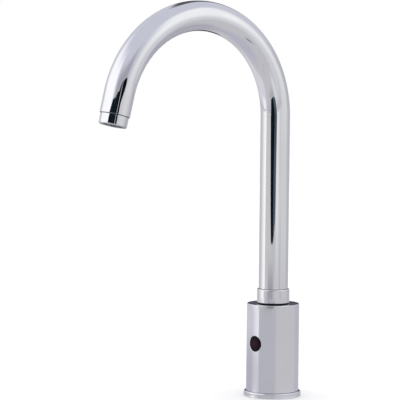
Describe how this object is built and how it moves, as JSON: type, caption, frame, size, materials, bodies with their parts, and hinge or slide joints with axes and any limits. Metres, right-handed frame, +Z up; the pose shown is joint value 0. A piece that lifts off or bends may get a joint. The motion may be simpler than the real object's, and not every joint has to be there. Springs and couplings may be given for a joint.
{
  "type": "sensor tap",
  "caption": "Deck-mounted touch-free tap: round chromed body with a front infrared sensor, swivelling swan-neck spout, aerator and solenoid valve.",
  "frame": {"origin": "centre of the base plate's underside, on the deck", "axes": "+Z up along the body's axis, -Y the way the sensor looks, +X to the tap's left side as seen by the user facing the sensor"},
  "size_m": [0.0591, 0.2319, 0.3758],
  "materials": {
    "chrome": "polished chrome plate",
    "brass": "turned brass",
    "steel": "turned stainless steel",
    "rubber": "moulded black rubber",
    "black_plastic": "moulded black plastic",
    "white_plastic": "moulded white plastic",
    "grey_plastic": "moulded grey plastic",
    "sensor_lens": "dark red-tinted infrared filter, polished",
    "magnet": "sintered magnet",
    "winding": "enamelled copper wire",
    "circuit_board": "green solder mask",
    "diode": "tinted clear resin",
    "signal_led": "red diffused resin"
  },
  "bodies": {
    "tap_body": {"base_plate": "chrome", "body_casting": "chrome", "base_plug": "brass", "valve_bonnet": "brass", "riser_tube": "brass", "base_plug_screws": "steel", "inlet_strainer": "steel", "check_spring": "steel", "valve_screws": "steel", "armature_tube": "steel", "fixed_core": "steel", "plunger_spring": "steel", "coil_yoke": "steel", "coil_nut": "steel", "sensor_screws": "steel", "spout_grub_screw": "steel", "base_gasket": "rubber", "base_plug_seal": "rubber", "cable_grommet": "rubber", "check_seal": "rubber", "riser_seals": "rubber", "valve_head_seal": "rubber", "diaphragm": "rubber", "sensor_gasket": "rubber", "valve_head": "black_plastic", "coil_bobbin": "black_plastic", "sensor_housing": "black_plastic", "glide_ring": "black_plastic", "check_valve_body": "white_plastic", "sensor_lens": "sensor_lens", "latch_magnet": "magnet", "coil": "winding", "sensor_board": "circuit_board", "ir_emitter": "diode", "ir_receiver": "diode", "status_led": "signal_led"},
    "spout": {"spout_foot": "brass", "spout_seals": "rubber", "spout_collar": "chrome", "spout_tube": "chrome", "outlet_bush": "brass", "aerator_washer": "rubber", "aerator_housing": "chrome", "aerator_strainer": "steel", "aerator_insert": "white_plastic", "aerator_honeycomb": "grey_plastic"},
    "plunger": {"plunger": "steel", "plunger_seat": "rubber"},
    "diaphragm_disc": {"diaphragm_disc": "white_plastic"},
    "check_poppet": {"check_poppet": "white_plastic"}
  },
  "joints": [
    {"name": "spout_swivel", "type": "hinge", "parent": "tap_body", "child": "spout", "pos_m": [0, 0, 0.0888], "axis": [0, 0, 1], "continuous": true},
    {"name": "plunger_stroke", "type": "slide", "parent": "tap_body", "child": "plunger", "axis": [0, 0, -1], "range_m": [0, 0.0025], "stiffness_N_per_m": 150, "springref_m": -0.004, "deforming": ["plunger_spring"]},
    {"name": "diaphragm_lift", "type": "slide", "parent": "tap_body", "child": "diaphragm_disc", "axis": [0, 0, -1], "range_m": [0, 0.0015], "deforming": ["diaphragm"]},
    {"name": "check_lift", "type": "slide", "parent": "tap_body", "child": "check_poppet", "axis": [0, 0, 1], "range_m": [0, 0.002], "stiffness_N_per_m": 80, "springref_m": -0.004, "deforming": ["check_spring"]}
  ],
  "couplings": [
    {"joint": "diaphragm_lift", "follows": "plunger_stroke", "ratio": 0.6}
  ]
}
